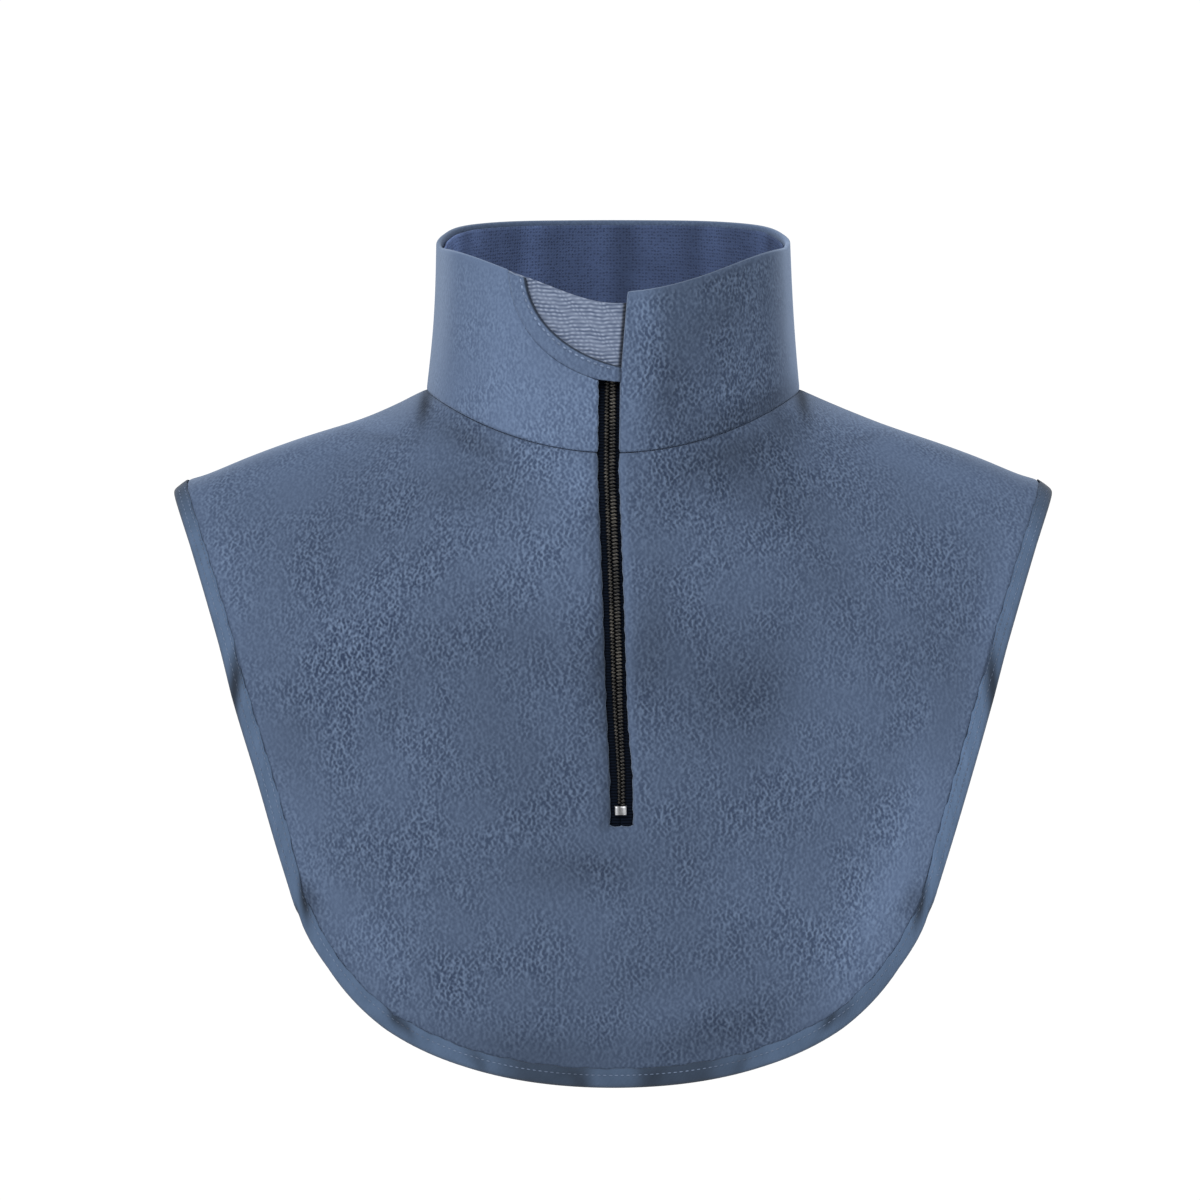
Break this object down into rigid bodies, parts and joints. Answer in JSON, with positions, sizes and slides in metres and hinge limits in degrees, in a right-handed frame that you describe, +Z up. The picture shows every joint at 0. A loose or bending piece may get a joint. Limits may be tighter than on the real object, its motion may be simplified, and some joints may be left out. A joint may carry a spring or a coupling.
{
  "type": "neck warmer",
  "caption": "Fleece neck warmer with a stand-up zip collar, a cut-away chin flap and a bib that covers chest, shoulders and back.",
  "frame": {"origin": "middle of the neck, level with the collar seam at the sides, where the garment sits on its wearer", "axes": "+Z up along the neck, -Y towards the front with the zip, +X to the wearer's left, which is on the right in the front view"},
  "size_m": [0.4206, 0.2307, 0.3967],
  "materials": {
    "fleece": "slate-blue fleece with a short pebbly nap",
    "binding": "smooth matt stretch band, slate blue",
    "rib_knit": "pale blue-grey knit with fine level ribs",
    "lining_knit": "dark blue-grey fine mesh knit",
    "zip_tape": "matt black woven tape",
    "zip_coil": "satin bronze-black coil",
    "zip_metal": "silver-grey metal"
  },
  "bodies": {
    "root": {"collar": "fleece", "flap_hem": "binding", "chin_guard": "rib_knit", "collar_lining": "lining_knit", "front_bib": "fleece", "back_bib": "fleece", "front_binding": "binding", "back_binding": "binding", "zip_tape_left": "zip_tape", "zip_tape_right": "zip_tape", "zip_teeth_left": "zip_coil", "zip_teeth_right": "zip_coil", "zip_bottom_stop": "zip_metal", "zip_slider": "zip_metal"}
  },
  "joints": []
}
